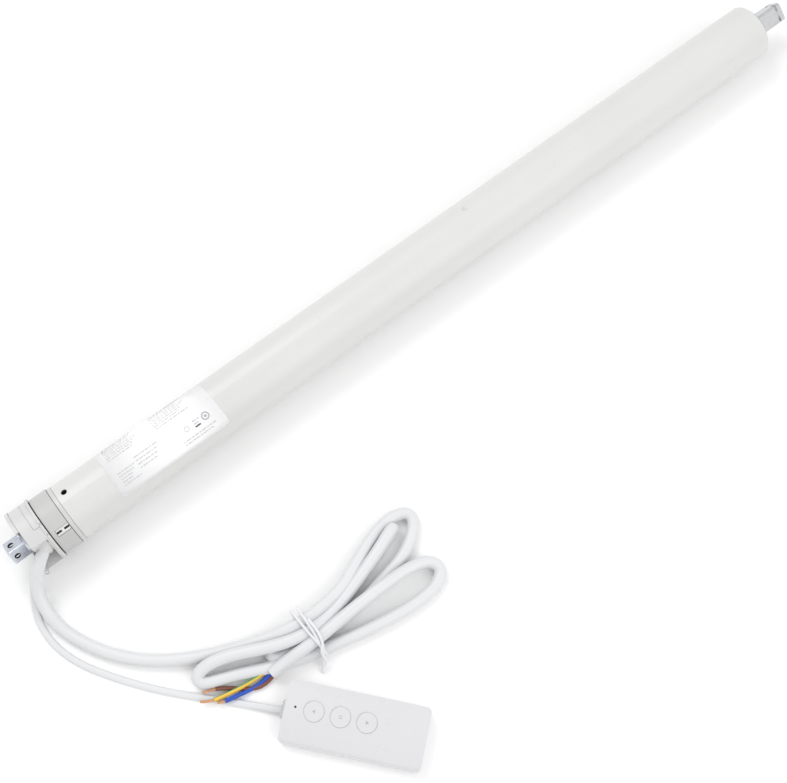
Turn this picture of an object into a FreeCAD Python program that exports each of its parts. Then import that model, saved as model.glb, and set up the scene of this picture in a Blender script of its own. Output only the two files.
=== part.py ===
import FreeCAD, Part
import math
import os

# A tubular motor for a roller shutter, with its mains cable and its wired three-button control box.
# Millimetres. +X runs along the motor from its head to its drive shaft and +Z is up. The origin is
# on the motor's axis, at the end of the crown that faces the head.

os.makedirs("parts", exist_ok=True)

# Motor tube
tube_radius = 17.5
tube_wall = 1.0
tube_bore = tube_radius - tube_wall
tube_start = 13.5
tube_end = 538.5
tube_edge = 0.4
fixing_hole_radius = 1.8
fixing_hole_x = 18.7
fixing_hole_turn = -18.0

# Head: the fixed end that the wall bracket holds
flange_radius = 20.0
flange_face = -0.7
flange_thick = 1.3
head_radius = 19.3
head_start = -15.3
neck_radius = 16.45
neck_end = 30.0
head_bore = 13.5
head_bore_start = 1.0
floor_z = -flange_radius
lip_length = 2.0
lip_radius = 19.6
lip_groove_width = 0.4
lip_groove_depth = 0.5
panel_length = 4.1
panel_depth = 0.5
panel_gap = 0.12
panel_side_gap = 0.25
panel_turn = 12.0
pocket_wall_y = -11.0
pocket_floor_z = -4.0
pocket_end = -3.1
pocket_top = 17.0
flange_notch_width = 1.2
flange_notch_depth = 0.8
flange_notch_turns = (9.0, 29.0)
pin_roll = 17.0

# Square pin: folded from sheet and fixed to a round plate
pin_width = 10.0
pin_wall = 1.5
pin_length = 10.9
pin_corner = 0.8
pin_tip_corner = 1.5
pin_hole_radius = 1.85
pin_hole_offset = 6.9
plate_back = -13.9
plate_radius = 8.2
plate_thick = 1.2
plate_slot_width = 0.7
plate_slot_place = 7.6
plate_slot_depth = 0.4
seat_radius = 7.2
seat_height = 1.0
seat_far_side = 6.1
screw_radius = 1.0
screw_head_radius = 1.3
screw_head_thick = 0.9
screw_place = 6.6
screw_depth = 8.0

# Crown: the free ring that the roller tube turns, and that counts the turns
crown_radius = 18.3
crown_bore = 16.52
crown_length = 10.9
crown_slot_start = 2.4
crown_slot_width = 4.4
crown_slot_floor = 17.0
crown_slot_turn = 39.5
washer_gap = 0.05
front_washer_radius = 17.6
rear_washer_radius = 17.3
latch_thick = 0.9
latch_slit_width = 1.5
collar_start = 11.2
collar_radius = 17.8

# Electronics inside the tube
carrier_start = 34.0
carrier_end = 150.0
carrier_radius = 16.3
carrier_inner = 14.9
board_width = 27.0
board_thick = 1.6
board_z = -5.0
board_end_gap = 3.0
carrier_web = 2.0
terminal_length = 12.0
terminal_height = 8.0
relay_length = 19.0
relay_height = 11.0
relay_starts = (66.0, 88.0)
transformer_start = 112.0
transformer_length = 20.0
transformer_height = 12.0
part_half_width = 10.0
capacitor_start = 158.0
capacitor_end = 212.0
capacitor_radius = 14.0
capacitor_lead_length = 4.0
capacitor_lead_radius = 0.6

# Brake, motor and gearbox
shaft_radius = 2.5
shaft_start = 236.0
brake_start = 218.0
brake_length = 26.0
brake_radius = 16.3
brake_bore = 3.5
coil_start_gap = 4.0
coil_end_gap = 2.0
coil_outer = 12.3
coil_inner = 6.2
coil_gap = 0.2
armature_radius = 14.5
armature_bore = 4.2
armature_gap = 0.6
armature_thick = 2.4
armature_travel = 0.4
disc_gap = 0.6
disc_thick = 4.0
disc_radius = 12.0
bell_length = 10.0
front_bell_start = 262.0
stator_start = 284.0
stator_length = 72.0
stator_radius = 16.3
stator_bore = 8.6
rotor_radius = 8.35
slot_count = 12
slot_inner = 10.2
slot_outer = 13.6
slot_width = 2.6
winding_length = 9.0
winding_gap = 0.3
winding_inner = 9.8
winding_outer = 14.2
bearing_radius = 8.0
bearing_width = 5.0
bearing_wall = 1.6
ball_count = 8
ball_radius = 1.4
ball_place = 5.2
bell_lip = 1.0
running_gap = 0.05

gear_module = 0.7
sun_teeth = 12
planet_teeth = 15
ring_teeth = 42
planet_count = 3
pressure_angle = math.radians(25)
addendum = 0.85 * gear_module
dedendum = 1.1 * gear_module
tooth_thinning = 0.06
gear_start = 386.0
gear_face = 12.0
last_gear_face = 20.0
ring_gear_outer = 16.3
planet_place = gear_module * (sun_teeth + planet_teeth) / 2
planet_pin_radius = 1.5
carrier_disc_radius = 13.6
carrier_disc_thick = 4.0
carrier_neck_radius = 3.2
axial_gap = 1.0

output_disc_thick = 8.0
output_radius = 8.0
output_square = 12.0
output_length = 24.8
output_roll = 36.5
output_corner = 1.5
groove_place = 20.0
groove_width = 1.6
groove_radius = 6.0
bush_radius = 10.5
bush_start = 505.0
cap_start = 478.0
cap_face = 1.2
cap_face_radius = 15.6
cap_throat = 6.0
tip_radius = 7.3
tip_length = 0.7

# Control box
box_length = 79.0
box_width = 34.8
box_height = 12.0
box_split = 6.0
box_wall = 1.6
box_corner = 3.0
box_screw_x = 33.0
box_screw_y = 11.0
box_screw_radius = 1.1
box_screw_head = 2.2
box_screw_head_thick = 1.2
box_screw_depth = 0.3
box_screw_length = 4.4
box_post_radius = 2.6
box_dome = 50.0
lid_edge = 3.4
button_row = 2.1
box_x = 71.3
box_y = -191.3
box_turn = -49.6
button_radius = 5.5
button_gap = 0.2
button_pitch = 14.7
button_middle = -8.5
button_rise = 0.3
button_skirt = 6.4
button_travel = 0.5
skirt_thick = 0.8
switch_height = 1.2
switch_half = 3.0
box_board_thick = 1.2
box_board_half_length = 30.0
box_board_half_width = 12.4
box_gland_half = 3.2
box_gland_low = 0.8
box_gland_high = 4.4
box_gland_reach = 2.5
control_in_box = 1.0
control_end_height = 2.6
led_place = -33.7
led_row = 2.5
led_radius = 0.7

# Mains cable and control cable
mains_radius = 3.6
mains_z = floor_z + mains_radius + 0.05
gland_radius = 4.9
gland_depth = 6.0
gland_lip = 0.2
cable_in_gland = 5.0
control_hole_wall = 1.4
control_hole_length = 8.6
control_hole_top = 1.8
exit_point = FreeCAD.Vector(-8.0, -11.5, 6.5)
exit_way = FreeCAD.Vector(-0.80, -0.45, -0.40)
core_radius = 1.2
core_z = floor_z + core_radius + 0.05
core_over_control_z = core_z + 2.3
control_width = 4.0
control_thick = 2.0
control_z = floor_z + control_thick / 2 + 0.05
control_start_roll = -24.0
hank_height = 14.2
tie_thick = 1.6
tie_x = 81.9
tie_near = -156.5
tie_far = -121.5


def vec(x, y, z):
    return FreeCAD.Vector(x, y, z)


X_WAY = vec(1, 0, 0)
Z_WAY = vec(0, 0, 1)
ORIGIN = vec(0, 0, 0)


def rod(start, end, radius, y=0, z=0):
    return Part.makeCylinder(radius, end - start, vec(start, y, z), X_WAY)


def ring(start, end, outer, inner):
    return rod(start, end, outer).cut(rod(start - 1, end + 1, inner))


def block(x0, x1, y0, y1, z0, z1):
    return Part.makeBox(x1 - x0, y1 - y0, z1 - z0, vec(x0, y0, z0))


def rolled(shape, angle):
    # A positive roll carries the top of the motor towards -Y.
    copy = shape.copy()
    copy.rotate(ORIGIN, X_WAY, angle)
    return copy


def save(name, shape):
    shape.exportStep("parts/" + name + ".step")


def around(radius, angle):
    return radius * math.cos(angle), radius * math.sin(angle)


# ---- gears

def involute(angle):
    return math.tan(angle) - angle


def gear(teeth, tip, root, thinning, start, end, turn=0.0):
    pitch = gear_module * teeth / 2
    base = pitch * math.cos(pressure_angle)
    half_pitch = math.pi / (2 * teeth) - thinning / (2 * pitch)
    first = max(base, root)
    flank = []
    for step in range(5):
        radius = first + (tip - first) * step / 4
        half = half_pitch + involute(pressure_angle) - involute(math.acos(base / radius))
        flank.append((radius, half))
    if root < base:
        flank.insert(0, (root, flank[0][1]))
    points = []
    for tooth in range(teeth):
        middle = turn + 2 * math.pi * tooth / teeth
        for radius, half in flank:
            points.append(vec(start, *around(radius, middle - half)))
        for radius, half in reversed(flank):
            points.append(vec(start, *around(radius, middle + half)))
    points.append(points[0])
    face = Part.Face(Part.makePolygon(points))
    return face.extrude(vec(end - start, 0, 0))


def outer_gear(teeth, start, end, turn=0.0):
    pitch = gear_module * teeth / 2
    return gear(teeth, pitch + addendum, pitch - dedendum, tooth_thinning, start, end, turn)


def planet(start, end, index):
    place = 2 * math.pi * index / planet_count
    y, z = around(planet_place, place)
    body = outer_gear(planet_teeth, start, end, place)
    body = body.cut(rod(start - 1, end + 1, planet_pin_radius + running_gap))
    body.translate(vec(0, y, z))
    return body


def planet_pins(start, end):
    pins = []
    for index in range(planet_count):
        y, z = around(planet_place, 2 * math.pi * index / planet_count)
        pins.append(rod(start, end, planet_pin_radius, y, z))
    return pins


def ring_gear(start, end):
    pitch = gear_module * ring_teeth / 2
    spaces = gear(ring_teeth, pitch + dedendum, pitch - addendum, -tooth_thinning, start - 1, end + 1)
    return rod(start, end, ring_gear_outer).cut(spaces)


# ---- cords

def corner_radius(before, corner, after):
    first = corner - before
    second = after - corner
    turn = first.getAngle(second)
    return 0.45 * min(first.Length, second.Length) / math.tan(turn / 2)


def cord_path(points):
    edges = []
    radii = []
    start = points[0]
    for before, corner, after in zip(points, points[1:], points[2:]):
        radius = corner_radius(before, corner, after)
        into = (corner - before).normalize()
        away = (after - corner).normalize()
        turn = into.getAngle(away)
        reach = radius * math.tan(turn / 2)
        arc_start = corner - into * reach
        arc_end = corner + away * reach
        inward = (away - into).normalize()
        centre = corner + inward * (radius / math.cos(turn / 2))
        arc_middle = centre - inward * radius
        edges.append(Part.LineSegment(start, arc_start).toShape())
        edges.append(Part.Arc(arc_start, arc_middle, arc_end).toShape())
        radii.append(radius)
        start = arc_end
    edges.append(Part.LineSegment(start, points[-1]).toShape())
    return Part.Wire(edges), radii


def cord(name, points, radius):
    path, radii = cord_path(points)
    way = (points[1] - points[0]).normalize()
    profile = Part.Wire([Part.Circle(points[0], way, radius).toShape()])
    solid = path.makePipeShell([profile], True, False)
    report_cord(name, path, radii, solid, math.pi * radius ** 2 * path.Length)
    return solid


def flat_cord(name, points, width, thick, start_roll):
    # The start is rolled so that the cable's flat side faces the floor where it lies on it.
    path, radii = cord_path(points)
    way = (points[1] - points[0]).normalize()
    level = Z_WAY.cross(way).normalize()
    side = FreeCAD.Rotation(way, start_roll).multVec(level)
    rise = way.cross(side)
    half = width / 2
    corners = [(-half, -thick / 2), (half, -thick / 2), (half, thick / 2), (-half, thick / 2)]
    loop = [points[0] + side * across + rise * up for across, up in corners]
    profile = Part.makePolygon(loop + [loop[0]])
    solid = path.makePipeShell([profile], True, False)
    report_cord(name, path, radii, solid, width * thick * path.Length)
    return solid


def report_cord(name, path, radii, solid, expected):
    print(name, "length", round(path.Length, 1), "smallest arc radius", round(min(radii), 1))
    print(name, "radii", [round(radius, 1) for radius in radii])
    print(name, "volume over section times length", round(solid.Volume / expected, 4), solid.isValid())


def on_floor(places, height):
    return [vec(x, y, height) for x, y in places]


# ---- head and crown

def fixing_holes():
    one = Part.makeCylinder(fixing_hole_radius, 60, vec(fixing_hole_x, 0, -30), Z_WAY)
    return rolled(one, fixing_hole_turn)


def make_tube():
    tube = ring(tube_start, tube_end, tube_radius, tube_bore)
    rims = [edge for edge in tube.Edges if edge.Length > 2 * math.pi * (tube_radius - 0.1)]
    rims = [edge for edge in rims if edge.Curve.TypeId == "Part::GeomCircle"]
    tube = tube.makeChamfer(tube_edge, rims)
    return tube.cut(fixing_holes())


def head_panel(side_gap):
    # The cover sits in a shallow recess over the top and the far side of the head.
    end = flange_face - flange_thick
    start = end - panel_length + side_gap
    band = ring(start, end, lip_radius + 1, head_radius - panel_depth)
    keep = rolled(block(start - 1, end + 1, side_gap, 40, -40, 40), panel_turn)
    low = block(start - 1, end + 1, -40, 40, -40, -2)
    return band.common(keep).cut(low)


def head_pocket():
    return block(head_start - 1, pocket_end, -30, pocket_wall_y, pocket_floor_z, pocket_top)


def pin_seat():
    # The side of the head that faces up is cut back to the plate, which stands on a low boss.
    room = rod(head_start - 1, plate_back, plate_radius + 0.3)
    open_side = block(head_start - 1, plate_back + seat_height, -30, seat_far_side, 0, 30)
    boss = rod(plate_back, plate_back + 1, seat_radius)
    return room.fuse(rolled(open_side, pin_roll)).cut(boss)


def flange_notches():
    half = flange_notch_width / 2
    back = flange_face - flange_thick
    notch = block(back - 0.1, flange_face + 0.1, -half, half, flange_radius - flange_notch_depth, 30)
    return [rolled(notch, turn) for turn in flange_notch_turns]


def gland_hole():
    inside = exit_point - exit_way * gland_depth
    return Part.makeCylinder(gland_radius, 2 * gland_depth, inside, exit_way)


def control_hole():
    start = head_start + control_hole_wall
    end = start + control_hole_length
    return block(start, end, pocket_wall_y - 1, pocket_wall_y + 4.5, pocket_floor_z + 0.1, control_hole_top)


def make_head():
    outer = rod(head_start, flange_face, head_radius)
    lip = rod(head_start, head_start + lip_length, lip_radius)
    flange = rod(flange_face - flange_thick, flange_face, flange_radius)
    neck = rod(flange_face - 1, neck_end, neck_radius)
    head = outer.fuse(lip).fuse(flange).fuse(neck)
    groove_start = head_start + lip_length
    head = head.cut(ring(groove_start, groove_start + lip_groove_width, lip_radius + 1,
                         head_radius - lip_groove_depth))
    head = head.cut(rod(head_bore_start, neck_end + 1, head_bore))
    for hollow in [head_panel(0.0), head_pocket(), pin_seat(), gland_hole(), control_hole(), fixing_holes()]:
        head = head.cut(hollow)
    for hollow in flange_notches() + screw_shanks(0.0):
        head = head.cut(hollow)
    return head.removeSplitter()


def make_head_cover():
    inner = rod(head_start, flange_face, head_radius - panel_gap)
    return head_panel(panel_side_gap).common(inner)


def screw_shanks(extra):
    shanks = []
    for side in (-1, 1):
        y, z = around(screw_place, math.radians(pin_roll + 45))
        place = vec(plate_back - extra, side * y, side * z)
        shanks.append(Part.makeCylinder(screw_radius, screw_depth + extra, place, X_WAY))
    return shanks


def make_head_screws():
    screws = []
    plate_face = plate_back - plate_thick
    for shank in screw_shanks(plate_thick):
        middle = shank.CenterOfMass
        head = rod(plate_face - screw_head_thick, plate_face, screw_head_radius, middle.y, middle.z)
        screws.append(shank.fuse(head))
    return Part.makeCompound(screws)


def make_plate():
    face = plate_back - plate_thick
    half = plate_slot_width / 2
    plate = rod(face, plate_back, plate_radius)
    for place in (-plate_slot_place, plate_slot_place):
        slot = block(face - 1, face + plate_slot_depth, place - half, place + half, -30, 30)
        plate = plate.cut(rolled(slot, pin_roll))
    return plate.cut(Part.makeCompound(screw_shanks(plate_thick + 1)))


def square_bar(start, end, width, corner, roll):
    half = width / 2
    bar = block(start, end, -half, half, -half, half)
    if corner > 0:
        long_edges = [edge for edge in bar.Edges if abs(edge.tangentAt(0).x) > 0.9]
        bar = bar.makeFillet(corner, long_edges)
    return rolled(bar, roll)


def tip_rounded(start, end, way):
    # A block whose two tip edges that run along one way are rounded.
    bar = block(start, end, -pin_width / 2, pin_width / 2, -pin_width / 2, pin_width / 2)
    edges = [edge for edge in bar.Edges if abs(edge.tangentAt(0).dot(way)) > 0.9]
    tip_edges = [edge for edge in edges if edge.CenterOfMass.x < start + 0.1]
    return bar.makeFillet(pin_tip_corner, tip_edges)


def make_pin():
    end = plate_back - plate_thick
    start = end - pin_length
    outer = square_bar(start, end, pin_width, pin_corner, 0)
    for way in (vec(0, 1, 0), Z_WAY):
        outer = outer.common(tip_rounded(start, end, way))
    inner = square_bar(start - 1, end + 1, pin_width - 2 * pin_wall, 0, 0)
    pin = outer.cut(inner)
    hole_x = end - pin_hole_offset
    pin = pin.cut(Part.makeCylinder(pin_hole_radius, 40, vec(hole_x, 0, -20), Z_WAY))
    pin = pin.cut(Part.makeCylinder(pin_hole_radius, 40, vec(hole_x, -20, 0), vec(0, 1, 0)))
    return rolled(pin, pin_roll + 45)


def crown_slot(depth_radius):
    half = crown_slot_width / 2
    slot = block(crown_slot_start, crown_length + 1, -half, half, depth_radius, 30)
    return rolled(slot, crown_slot_turn)


def make_crown():
    crown = ring(0, crown_length, crown_radius, crown_bore)
    return crown.cut(crown_slot(crown_slot_floor))


def make_crown_latch():
    # An H-shaped spring tongue in the crown's slot.
    half = crown_slot_width / 2 - 0.3
    start = crown_slot_start + 0.2
    end = crown_length - 0.2
    tongue = block(start, end, -half, half, crown_slot_floor, crown_slot_floor + latch_thick)
    middle = (start + end) / 2
    cut_half = latch_slit_width / 2
    tongue = tongue.cut(block(start - 1, middle - 0.8, -cut_half, cut_half, 0, 30))
    tongue = tongue.cut(block(middle + 0.8, end + 1, -cut_half, cut_half, 0, 30))
    return rolled(tongue, crown_slot_turn)


def make_washers():
    # Slide washers at both ends of the crown.
    front = ring(flange_face, -washer_gap, front_washer_radius, neck_radius)
    rear = ring(crown_length + washer_gap, collar_start, rear_washer_radius, neck_radius)
    return Part.makeCompound([front, rear])


def head_nodes():
    save("motor_tube", make_tube())
    save("head_body", make_head())
    save("head_cover", make_head_cover())
    save("head_plate", make_plate())
    save("square_pin", make_pin())
    save("head_screws", make_head_screws())
    save("crown_ring", make_crown())
    save("crown_latch", make_crown_latch())
    save("crown_washers", make_washers())
    save("stop_collar", ring(collar_start, tube_start, collar_radius, neck_radius))


# ---- electronics

def make_carrier():
    trough = ring(carrier_start, carrier_end, carrier_radius, carrier_inner)
    trough = trough.cut(block(carrier_start - 1, carrier_end + 1, -30, 30, board_z + board_thick, 30))
    for start in (carrier_start, carrier_end - carrier_web):
        web = rod(start, start + carrier_web, carrier_inner + 0.1)
        trough = trough.fuse(web.cut(block(start - 1, start + carrier_web + 1, -30, 30, board_z, 30)))
    return trough


def board_part(start, length, height):
    top = board_z + board_thick
    return block(start, start + length, -part_half_width, part_half_width, top, top + height)


def make_board():
    half = board_width / 2
    start = carrier_start + board_end_gap
    board = block(start, carrier_end - board_end_gap, -half, half, board_z, board_z + board_thick)
    board = board.fuse(board_part(start + 1, terminal_length, terminal_height))
    for relay_start in relay_starts:
        board = board.fuse(board_part(relay_start, relay_length, relay_height))
    return board.fuse(board_part(transformer_start, transformer_length, transformer_height))


def make_capacitor():
    can = rod(capacitor_start, capacitor_end, capacitor_radius)
    for side in (-4, 4):
        lead_start = capacitor_start - capacitor_lead_length
        can = can.fuse(rod(lead_start, capacitor_start, capacitor_lead_radius, side, 0))
    return can


def electronics_nodes():
    save("board_carrier", make_carrier())
    save("control_board", make_board())
    save("run_capacitor", make_capacitor())


# ---- brake and motor

brake_end = brake_start + brake_length
armature_start = brake_end + armature_gap
disc_start = armature_start + armature_thick + disc_gap
front_bell_end = front_bell_start + bell_length
stator_end = stator_start + stator_length
rear_bell_start = stator_end + winding_length + 2 * winding_gap + 1


def make_slot(start, end, clearance, index):
    half = slot_width / 2 - clearance
    low = slot_inner + clearance
    high = slot_outer - clearance
    slot = block(start, end, low, high, -half, half)
    return rolled(slot, 360 * index / slot_count)


def make_stator():
    core = ring(stator_start, stator_end, stator_radius, stator_bore)
    for index in range(slot_count):
        core = core.cut(make_slot(stator_start - 1, stator_end + 1, 0, index))
    return core


def make_winding():
    left = ring(stator_start - winding_gap - winding_length, stator_start - winding_gap,
                winding_outer, winding_inner)
    right = ring(stator_end + winding_gap, stator_end + winding_gap + winding_length,
                 winding_outer, winding_inner)
    coil = left.fuse(right)
    start = stator_start - winding_gap - 0.5
    end = stator_end + winding_gap + 0.5
    for index in range(slot_count):
        coil = coil.fuse(make_slot(start, end, 0.15, index))
    return coil


def make_bell(start, bearing_start):
    bell = rod(start, start + bell_length, stator_radius)
    bell = bell.cut(rod(start - 1, start + bell_length + 1, shaft_radius + 1))
    return bell.cut(rod(bearing_start, bearing_start + bearing_width, bearing_radius))


def make_bearing(start):
    end = start + bearing_width
    outer = ring(start, end, bearing_radius, bearing_radius - bearing_wall)
    inner = ring(start, end, shaft_radius + bearing_wall - 0.1, shaft_radius + running_gap)
    bearing = outer.fuse(inner)
    for index in range(ball_count):
        y, z = around(ball_place, 2 * math.pi * index / ball_count)
        bearing = bearing.fuse(Part.makeSphere(ball_radius, vec(start + bearing_width / 2, y, z)))
    return bearing


def brake_nodes():
    coil_start = brake_start + coil_start_gap
    coil_room = ring(coil_start, brake_end + 1, coil_outer + coil_gap, coil_inner - coil_gap)
    save("brake_housing", ring(brake_start, brake_end, brake_radius, brake_bore).cut(coil_room))
    save("brake_coil", ring(coil_start, brake_end - coil_end_gap, coil_outer, coil_inner))
    save("brake_armature", ring(armature_start, armature_start + armature_thick,
                                armature_radius, armature_bore))
    save("brake_disc", ring(disc_start, disc_start + disc_thick, disc_radius, shaft_radius))


def motor_nodes():
    front_bearing = front_bell_end - bearing_width - bell_lip
    rear_bearing = rear_bell_start + bell_lip
    save("front_bell", make_bell(front_bell_start, front_bearing))
    save("rear_bell", make_bell(rear_bell_start, rear_bearing))
    save("shaft_bearings", Part.makeCompound([make_bearing(front_bearing), make_bearing(rear_bearing)]))
    save("stator_core", make_stator())
    save("stator_winding", make_winding())
    save("rotor_core", ring(stator_start, stator_end, rotor_radius, shaft_radius))
    pinion = outer_gear(sun_teeth, gear_start, gear_start + gear_face)
    save("rotor_shaft", rod(shaft_start, gear_start + gear_face - 1, shaft_radius).fuse(pinion))


# ---- gearbox

first_carrier_start = gear_start + gear_face + axial_gap
second_gear_start = first_carrier_start + carrier_disc_thick + 2 * axial_gap
second_carrier_start = second_gear_start + gear_face + axial_gap
third_gear_start = second_carrier_start + carrier_disc_thick + 2 * axial_gap
output_disc_start = third_gear_start + last_gear_face + axial_gap
ring_gear_end = output_disc_start + output_disc_thick + axial_gap


def make_carrier_disc(start, next_start, next_end, pins_start):
    disc = rod(start, start + carrier_disc_thick, carrier_disc_radius)
    disc = disc.fuse(rod(start, next_start + 1, carrier_neck_radius))
    disc = disc.fuse(outer_gear(sun_teeth, next_start, next_end))
    for pin in planet_pins(pins_start + 0.5, start + 1):
        disc = disc.fuse(pin)
    return disc


def make_output():
    disc = rod(output_disc_start, output_disc_start + output_disc_thick, carrier_disc_radius)
    for pin in planet_pins(third_gear_start + 0.5, output_disc_start + 1):
        disc = disc.fuse(pin)
    journal = rod(output_disc_start + 1, tube_end + cap_face + 0.3, output_radius)
    shaft_end = tube_end + output_length
    square = square_bar(tube_end - 2, shaft_end, output_square, output_corner, output_roll)
    body = rod(tube_end - 5, shaft_end - tip_length, 20)
    cone = Part.makeCone(output_square / math.sqrt(2), tip_radius, tip_length,
                         vec(shaft_end - tip_length, 0, 0), X_WAY)
    square = square.common(body.fuse(cone))
    shaft = disc.fuse(journal).fuse(square)
    groove_start = tube_end + groove_place
    groove = ring(groove_start, groove_start + groove_width, 20, groove_radius)
    return shaft.cut(groove)


def make_end_cap():
    cap = ring(cap_start, tube_end, ring_gear_outer, bush_radius)
    cap = cap.fuse(ring(tube_end, tube_end + cap_face, cap_face_radius, output_radius + 0.3))
    throat = ring(bush_start - cap_throat, bush_start, bush_radius + 1, output_radius + 0.5)
    return cap.fuse(throat)


def gearbox_nodes():
    save("ring_gear", ring_gear(gear_start - 1, ring_gear_end))
    save("first_carrier", make_carrier_disc(first_carrier_start, second_gear_start,
                                            second_gear_start + gear_face, gear_start))
    save("second_carrier", make_carrier_disc(second_carrier_start, third_gear_start,
                                             third_gear_start + last_gear_face, second_gear_start))
    stages = [("first", gear_start, gear_face), ("second", second_gear_start, gear_face),
              ("third", third_gear_start, last_gear_face)]
    for stage, start, face in stages:
        for index in range(planet_count):
            save(stage + "_planet_" + str(index + 1), planet(start, start + face, index))
    save("output_shaft", make_output())
    save("output_bush", ring(bush_start, tube_end, bush_radius, output_radius + running_gap))
    save("end_cap", make_end_cap())


# ---- control box, built about its own centre with its length along X

def place_box(shape):
    placed = shape.copy()
    placed.rotate(ORIGIN, Z_WAY, box_turn)
    placed.translate(vec(box_x, box_y, 0))
    return placed


def plan_block(length, width, corner, low, high):
    slab = block(-length / 2, length / 2, -width / 2, width / 2, low, high)
    uprights = [edge for edge in slab.Edges if abs(edge.tangentAt(0).z) > 0.9]
    return slab.makeFillet(corner, uprights)


box_floor = floor_z
box_middle = floor_z + box_split
box_top = floor_z + box_height
button_places = [button_middle + (index - 1) * button_pitch for index in range(3)]


def dome(height):
    # The lid is slightly arched across its width.
    return Part.makeCylinder(box_dome, box_length + 2, vec(-box_length / 2 - 1, 0, height - box_dome), X_WAY)


def lid_edge_waste():
    # One long edge of the lid rolls over from the arch into the side.
    side = box_width / 2 - lid_edge
    middle_z = box_top - box_dome + math.sqrt((box_dome - lid_edge) ** 2 - side ** 2)
    meet = side * box_dome / (box_dome - lid_edge)
    half = box_length / 2 + 1
    corner = block(-half, half, -box_width / 2 - 1, -meet, middle_z, box_top + 1)
    return corner.cut(Part.makeCylinder(lid_edge, 2 * half, vec(-half, -side, middle_z), X_WAY))


def make_lid():
    lid = plan_block(box_length, box_width, box_corner, box_middle, box_top).common(dome(box_top))
    lid = lid.cut(lid_edge_waste())
    room = plan_block(box_length - 2 * box_wall, box_width - 2 * box_wall, box_corner - box_wall,
                      box_middle - 1, lid_room_top)
    lid = lid.cut(room)
    for place in button_places:
        lid = lid.cut(upright(button_radius + button_gap, place, button_row, box_middle, box_top + 1))
    lid = lid.cut(upright(led_radius, led_place, led_row, box_middle, box_top + 1))
    return lid.cut(cable_gland_room())


def box_end_block(start, end):
    return block(start - box_length / 2, end - box_length / 2, -box_gland_half, box_gland_half,
                 floor_z + box_gland_low, floor_z + box_gland_high)


def cable_gland_room():
    return box_end_block(-1, box_wall + 1)


def make_base():
    base = plan_block(box_length, box_width, box_corner, box_floor, box_middle)
    room = plan_block(box_length - 2 * box_wall, box_width - 2 * box_wall, box_corner - box_wall,
                      box_floor + box_wall, box_middle + 1)
    base = base.cut(room)
    for x, y in box_screw_places():
        post = upright(box_post_radius, x, y, box_floor + box_wall, box_middle)
        hole = upright(box_screw_radius, x, y, box_floor - 1, box_middle + 1)
        sink_top = box_floor + box_screw_depth + box_screw_head_thick
        sink = upright(box_screw_head, x, y, box_floor - 1, sink_top)
        base = base.fuse(post).cut(hole).cut(sink)
    return base.cut(cable_gland_room())


def upright(radius, x, y, low, high):
    return Part.makeCylinder(radius, high - low, vec(x, y, low), Z_WAY)


def box_screw_places():
    return [(side_x * box_screw_x, side_y * box_screw_y) for side_x in (-1, 1) for side_y in (-1, 1)]


def make_box_screws():
    screws = []
    low = box_floor + box_screw_depth
    for x, y in box_screw_places():
        shank = upright(box_screw_radius, x, y, low, low + box_screw_length)
        screws.append(shank.fuse(upright(box_screw_head, x, y, low, low + box_screw_head_thick)))
    return Part.makeCompound(screws)


board_top = box_middle - 0.3
switch_top = board_top + switch_height
lid_room_top = box_top - box_wall - 1.9


def make_button(place):
    cap = upright(button_radius, place, button_row, switch_top + button_travel + 0.1, box_top + button_rise)
    skirt_top = lid_room_top - 0.05
    return cap.fuse(upright(button_skirt, place, button_row, skirt_top - skirt_thick, skirt_top))


def make_box_board():
    board = block(-box_board_half_length, box_board_half_length, -box_board_half_width,
                  box_board_half_width, board_top - box_board_thick, board_top)
    for x, y in box_screw_places():
        board = board.cut(upright(box_post_radius + 0.2, x, y, floor_z, box_top))
    return board


def make_switches():
    switches = [block(place - switch_half, place + switch_half, button_row - switch_half,
                      button_row + switch_half, board_top, switch_top) for place in button_places]
    return Part.makeCompound(switches)


def make_box_gland():
    slot = block(-box_length / 2 - 5, -box_length / 2 + 10, -control_width / 2, control_width / 2,
                 control_end_z - control_thick / 2, control_end_z + control_thick / 2)
    return box_end_block(-box_gland_reach, box_wall + 1).cut(slot)


def control_box_nodes():
    save("box_lid", place_box(make_lid()))
    save("box_base", place_box(make_base()))
    save("box_board", place_box(make_box_board()))
    save("button_switches", place_box(make_switches()))
    save("light_pipe", place_box(upright(led_radius, led_place, led_row, board_top + 1, box_top - 0.4)))
    save("box_screws", place_box(make_box_screws()))
    save("box_gland", place_box(make_box_gland()))
    for name, place in zip(("button_up", "button_stop", "button_down"), button_places):
        save(name, place_box(make_button(place)))


# ---- cables on the floor beside the motor

control_end_z = floor_z + control_end_height
way_into_box = vec(math.cos(math.radians(box_turn)), math.sin(math.radians(box_turn)), 0)
box_centre = vec(box_x, box_y, control_end_z)
control_end = box_centre - way_into_box * (box_length / 2 - control_in_box)

mains_route = [
    exit_point - exit_way * cable_in_gland,
    vec(-14.7, -15.2, 3.2),
    vec(-22.8, -20.6, -5.6),
    vec(-27.7, -31.5, -13.2),
    vec(-27.3, -46.5, mains_z),
] + on_floor([(-20.9, -63.5), (-9.9, -81.0), (5.4, -96.0), (24.9, -108.4)], mains_z)

control_route = [
    vec(-9.3, -9.2, -1.6),
    vec(-14.5, -12.0, -1.8),
    vec(-19.8, -13.8, -6.2),
    vec(-24.6, -17.6, -12.2),
    vec(-30.2, -24.8, -16.6),
]
control_route += on_floor([(-35.3, -36.8), (-35.5, -52.8), (-29.5, -70.8), (-17.1, -90.4),
                           (-2.5, -109.6), (12.9, -126.2), (29.1, -143.2)], control_z)
control_route += [control_end - way_into_box * 10, control_end]

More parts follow.
